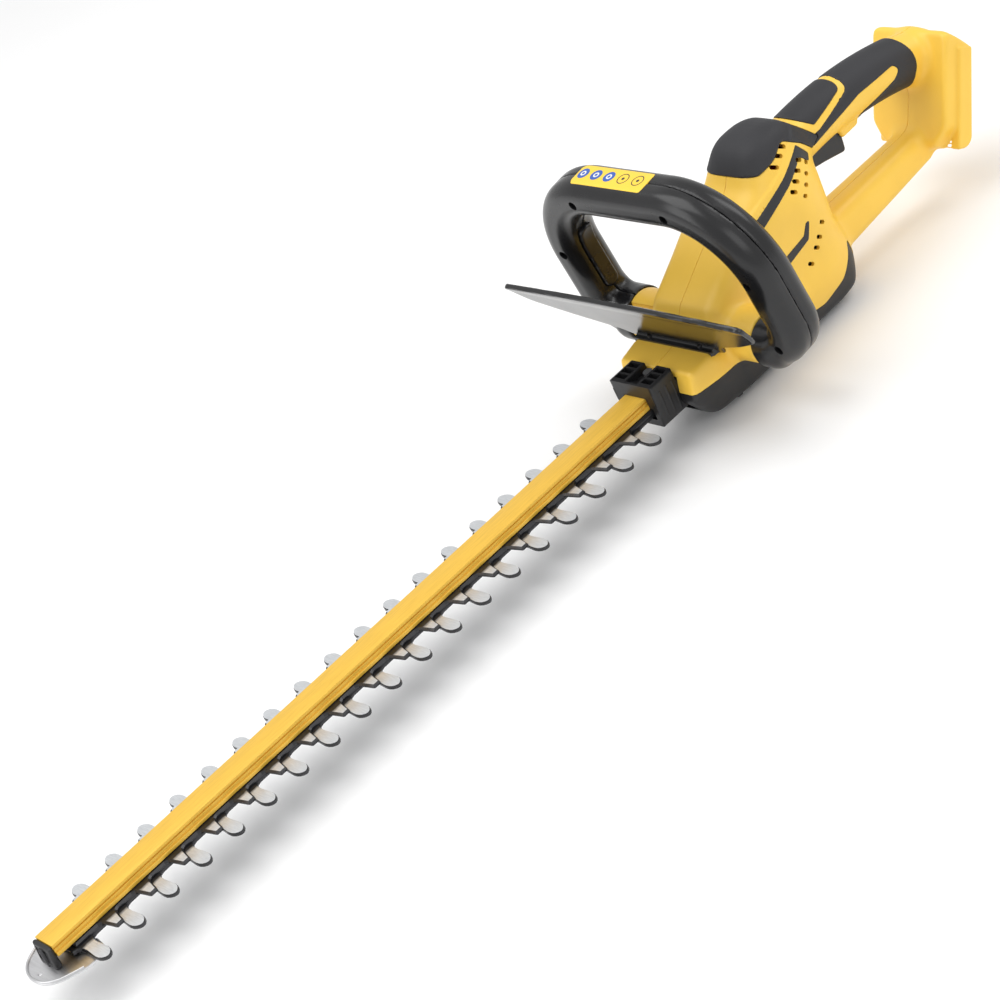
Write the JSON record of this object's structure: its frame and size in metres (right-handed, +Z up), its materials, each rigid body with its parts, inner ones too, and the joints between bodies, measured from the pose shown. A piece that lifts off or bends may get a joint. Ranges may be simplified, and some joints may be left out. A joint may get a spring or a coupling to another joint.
{
  "type": "hedge trimmer",
  "caption": "Cordless hedge trimmer with a loop front handle, hand guard, closed rear handle and a long double-sided toothed blade on a rail.",
  "frame": {"origin": "on the flat sole of the bottom cover, directly under the crank gear's axis", "axes": "+X forward along the blade, +Y to the user's left, +Z up from the sole"},
  "size_m": [0.9352, 0.2504, 0.1859],
  "materials": {
    "body_plastic": "fine satin",
    "soft_grip": "matt",
    "trim_plastic": "satin",
    "cover_plastic": "satin",
    "handle_plastic": "satin",
    "guard_plastic": "gloss",
    "screw_steel": "blackened",
    "bright_steel": "ground",
    "pin_steel": "ground",
    "inner_plastic": "matt",
    "contact_metal": "bright",
    "trigger_plastic": "satin",
    "switch_plastic": "satin",
    "wire_jacket": "satin",
    "board": "satin",
    "label": "satin",
    "clamp_plastic": "satin",
    "anodised_rail": "anodised",
    "blade_steel": "ground",
    "tip_steel": "brushed",
    "cast_plate": "machined",
    "gear_steel": "hardened",
    "can_steel": "plated",
    "magnet": "matt",
    "bronze": "sintered",
    "winding": "enamelled"
  },
  "bodies": {
    "tool_body": {"housing_left": "body_plastic", "housing_right": "body_plastic", "housing_screws": "screw_steel", "hump_pad": "soft_grip", "thumb_pad": "soft_grip", "grip_pad_left": "soft_grip", "grip_pad_right": "soft_grip", "side_trim_left": "trim_plastic", "side_trim_right": "trim_plastic", "bottom_cover": "cover_plastic", "cover_screws": "screw_steel", "terminal_block": "inner_plastic", "terminal_blades": "contact_metal", "trigger_pin": "pin_steel", "trigger_switch": "inner_plastic", "wires": "wire_jacket", "control_board": "board", "loop_front": "handle_plastic", "loop_rear": "handle_plastic", "loop_screws": "screw_steel", "loop_label": "label", "front_switch": "inner_plastic", "handle_bolts": "screw_steel", "hand_guard": "guard_plastic", "guard_screws": "screw_steel", "blade_clamp": "clamp_plastic", "clamp_screw": "bright_steel", "rail": "anodised_rail", "guide_bolts": "screw_steel", "end_cap": "clamp_plastic", "tip_guard": "tip_steel", "tip_screw": "screw_steel", "gearbox_plate": "cast_plate", "plate_screws": "screw_steel", "crank_bearings": "bright_steel", "motor_can": "can_steel", "motor_magnets": "magnet", "motor_cap": "inner_plastic", "motor_bearings": "bronze"},
    "rotor": {"armature": "winding", "motor_shaft": "bright_steel", "fan": "inner_plastic", "pinion": "gear_steel"},
    "crank": {"crank_gear": "gear_steel"},
    "upper_blade_slide": {"blade_upper": "blade_steel"},
    "lower_blade_slide": {"blade_lower": "blade_steel"},
    "trigger_lever": {"trigger": "trigger_plastic"},
    "front_bar": {"switch_bar": "switch_plastic"}
  },
  "joints": [
    {"name": "trigger_pivot", "type": "hinge", "parent": "tool_body", "child": "trigger_lever", "pos_m": [-0.093, 0, 0.096], "axis": [0, 1, 0], "range_deg": [0, 6], "stiffness_Nm_per_rad": 4, "springref_deg": -5.73},
    {"name": "front_bar_press", "type": "slide", "parent": "tool_body", "child": "front_bar", "axis": [0, -1, 0], "range_m": [0, 0.0022], "stiffness_N_per_m": 2000, "springref_m": -0.001},
    {"name": "crank_spin", "type": "hinge", "parent": "tool_body", "child": "crank", "pos_m": [0, 0, 0.049], "axis": [0, 0, 1], "continuous": true},
    {"name": "rotor_spin", "type": "hinge", "parent": "tool_body", "child": "rotor", "pos_m": [-0.04, 0, 0.08], "axis": [0, 0, 1], "continuous": true},
    {"name": "upper_blade_stroke", "type": "slide", "parent": "tool_body", "child": "upper_blade_slide", "axis": [1, 0, 0], "range_m": [-0.008, 0.008]},
    {"name": "lower_blade_stroke", "type": "slide", "parent": "tool_body", "child": "lower_blade_slide", "axis": [1, 0, 0], "range_m": [-0.008, 0.008]}
  ],
  "couplings": [
    {"joint": "rotor_spin", "follows": "crank_spin", "ratio": -7},
    {"joint": "lower_blade_stroke", "follows": "upper_blade_stroke", "ratio": -1}
  ]
}
